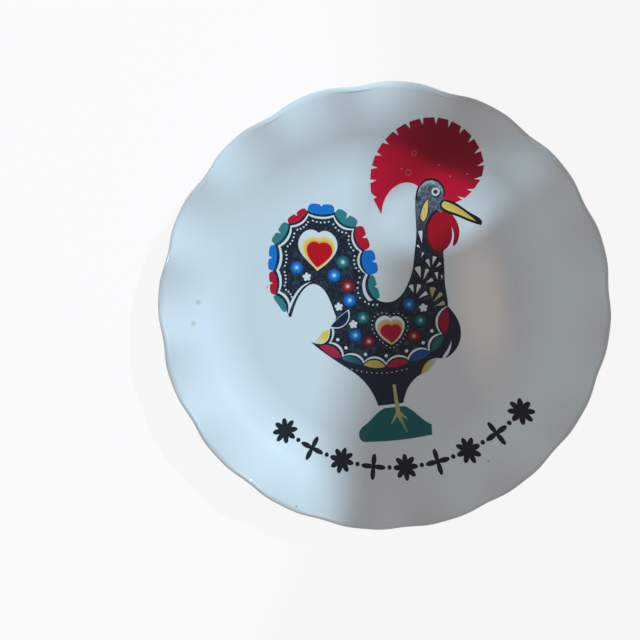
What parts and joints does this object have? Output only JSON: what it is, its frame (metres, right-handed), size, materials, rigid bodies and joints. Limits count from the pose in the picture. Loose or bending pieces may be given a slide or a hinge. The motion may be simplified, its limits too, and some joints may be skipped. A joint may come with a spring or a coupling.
{
  "type": "souvenir plate with a printed rooster",
  "caption": "Small round white porcelain plate with a lobed, wavy rim and a foot ring, printed with a folk rooster and a flower border in fired colours; for display or as a dish.",
  "frame": {"origin": "middle of the plane that the foot ring stands on", "axes": "+Z out of the dish, +Y from the rooster's feet to its comb, +X the way the rooster faces"},
  "size_m": [0.15, 0.15, 0.0167],
  "materials": {
    "glaze_white": "clear gloss glaze",
    "enamel_black": "fired on-glaze colour, glossy",
    "enamel_red": "fired on-glaze colour, glossy",
    "enamel_blue": "fired on-glaze colour, glossy",
    "enamel_navy": "fired on-glaze colour, glossy",
    "enamel_green": "fired on-glaze colour, glossy",
    "enamel_dark_green": "fired on-glaze colour, glossy",
    "enamel_yellow": "fired on-glaze colour, glossy",
    "enamel_grey": "fired on-glaze colour, glossy"
  },
  "bodies": {
    "root": {"plate_body": "glaze_white", "body_ground": "enamel_black", "hem": "enamel_black", "crown_line": "enamel_black", "eye": "enamel_black", "beak_edge": "enamel_black", "wattle_edge": "enamel_black", "border_rosettes": "enamel_black", "border_sprigs": "enamel_black", "border_beads": "enamel_black", "comb": "enamel_red", "wattle": "enamel_red", "wattle_fold": "enamel_red", "tail_heart_red": "enamel_red", "body_heart_red": "enamel_red", "flowers_red": "enamel_red", "tail_feathers_red": "enamel_red", "wing_scallops_red": "enamel_red", "breast_scallop": "enamel_red", "flowers_blue": "enamel_blue", "tail_feathers_blue": "enamel_blue", "wing_scallop_blue": "enamel_blue", "rump_plume": "enamel_navy", "flowers_green": "enamel_green", "tail_feathers_green": "enamel_green", "wing_scallops_green": "enamel_green", "mound": "enamel_dark_green", "tail_heart_yellow": "enamel_yellow", "body_heart_yellow": "enamel_yellow", "rump_tuft": "enamel_yellow", "beak": "enamel_yellow", "ear_drop": "enamel_yellow", "neck_petals": "enamel_yellow", "leg": "enamel_yellow", "wing_scallop_yellow": "enamel_yellow", "thigh_tuft": "enamel_yellow", "head": "enamel_grey"}
  },
  "joints": []
}
